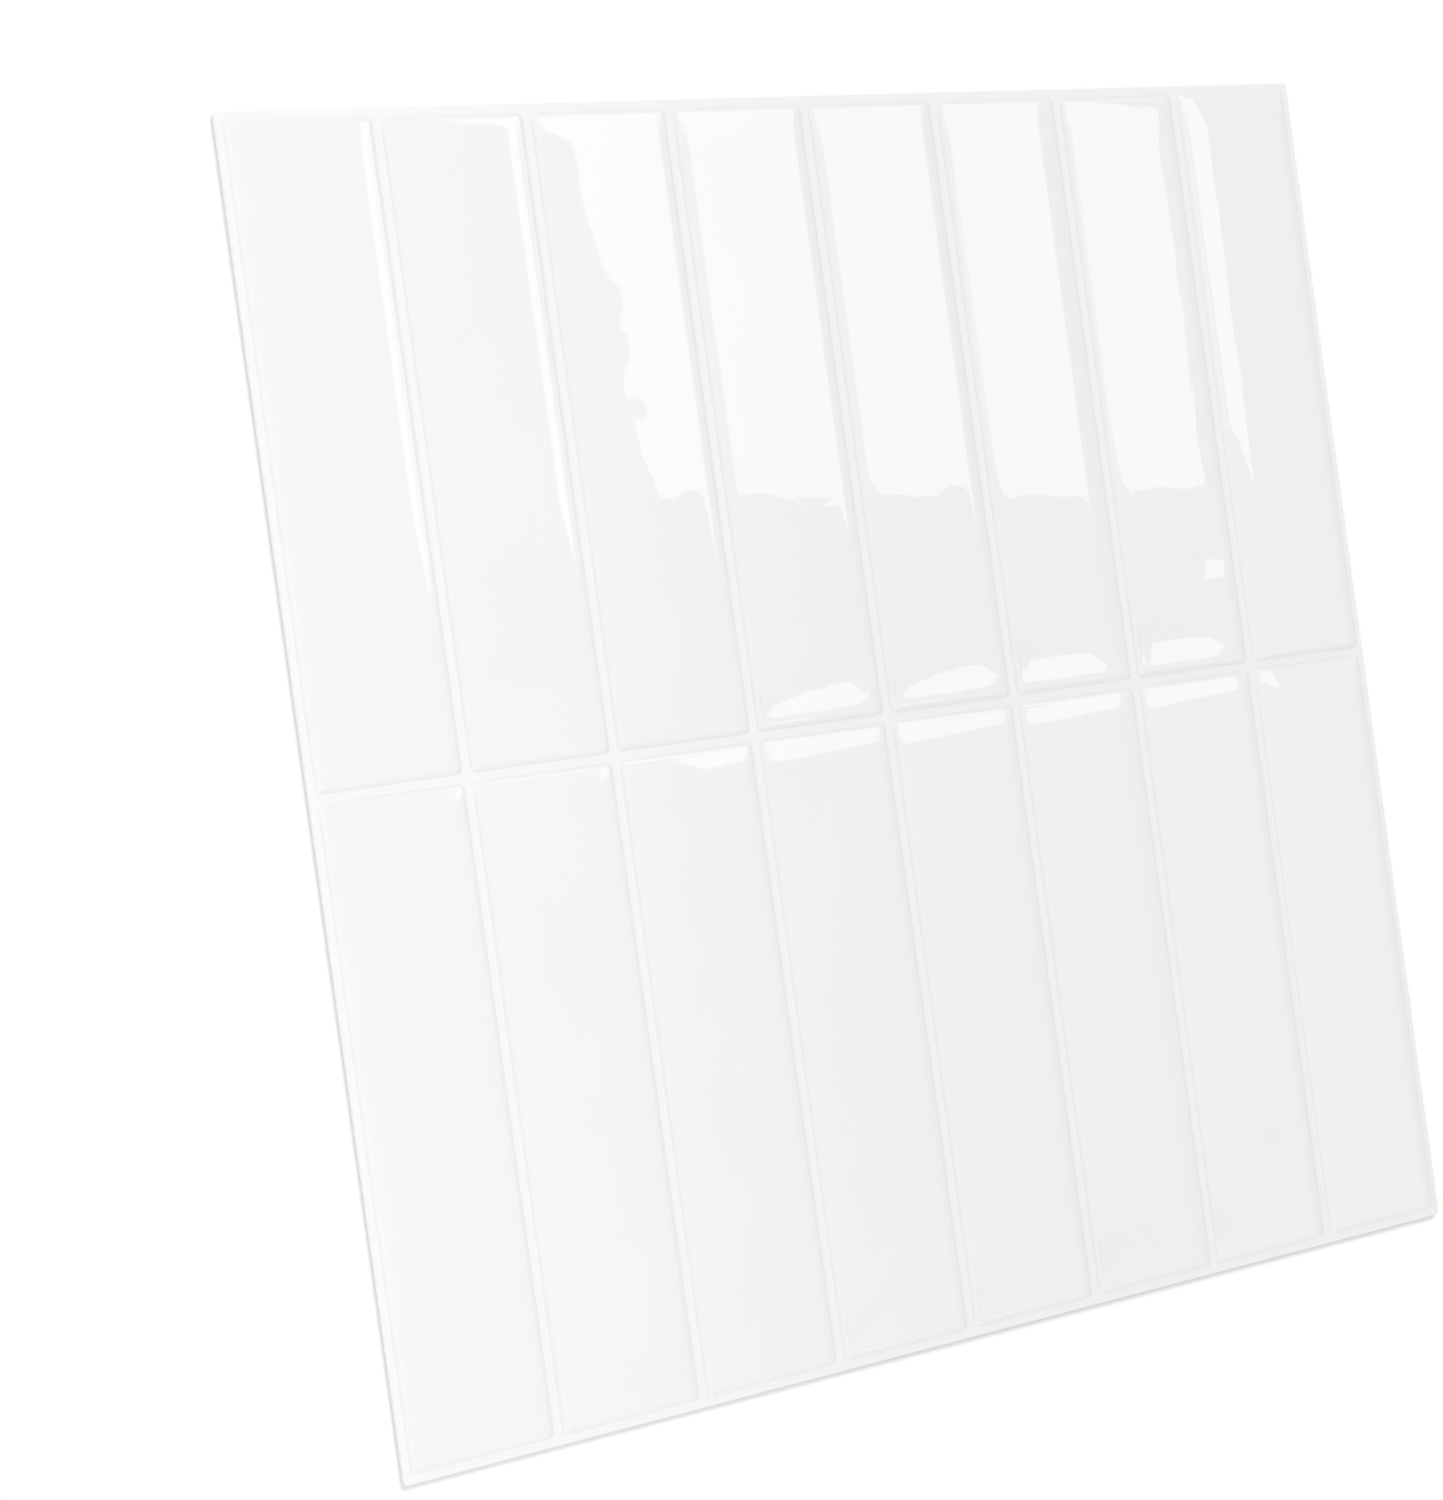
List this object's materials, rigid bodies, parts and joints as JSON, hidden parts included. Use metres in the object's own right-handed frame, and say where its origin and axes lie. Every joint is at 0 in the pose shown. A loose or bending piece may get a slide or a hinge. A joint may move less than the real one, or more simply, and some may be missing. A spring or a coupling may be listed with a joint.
{
  "type": "peel and stick backsplash tile",
  "caption": "Square self-adhesive backsplash sheet: tall glossy white gel tiles stacked in rows on a flat white vinyl carrier with flush grout lines, over a peel-off paper liner.",
  "frame": {"origin": "centre of the sheet's underside, the face of the release liner that lies on the floor or the stack", "axes": "+X across the columns of tiles, towards the right of the picture; +Y up the sheet along the tiles; +Z out of the glossy front face"},
  "size_m": [0.305, 0.305, 0.0024],
  "materials": {
    "liner": "silicone-coated release paper, plain and unprinted",
    "carrier": "satin white vinyl with white printed grout",
    "gel": "white polyurethane gel, cast, high gloss"
  },
  "bodies": {
    "root": {"release_liner": "liner", "carrier_sheet": "carrier", "gel_tile_r1_c1": "gel", "gel_tile_r1_c2": "gel", "gel_tile_r1_c3": "gel", "gel_tile_r1_c4": "gel", "gel_tile_r1_c5": "gel", "gel_tile_r1_c6": "gel", "gel_tile_r1_c7": "gel", "gel_tile_r1_c8": "gel", "gel_tile_r2_c1": "gel", "gel_tile_r2_c2": "gel", "gel_tile_r2_c3": "gel", "gel_tile_r2_c4": "gel", "gel_tile_r2_c5": "gel", "gel_tile_r2_c6": "gel", "gel_tile_r2_c7": "gel", "gel_tile_r2_c8": "gel"}
  },
  "joints": []
}
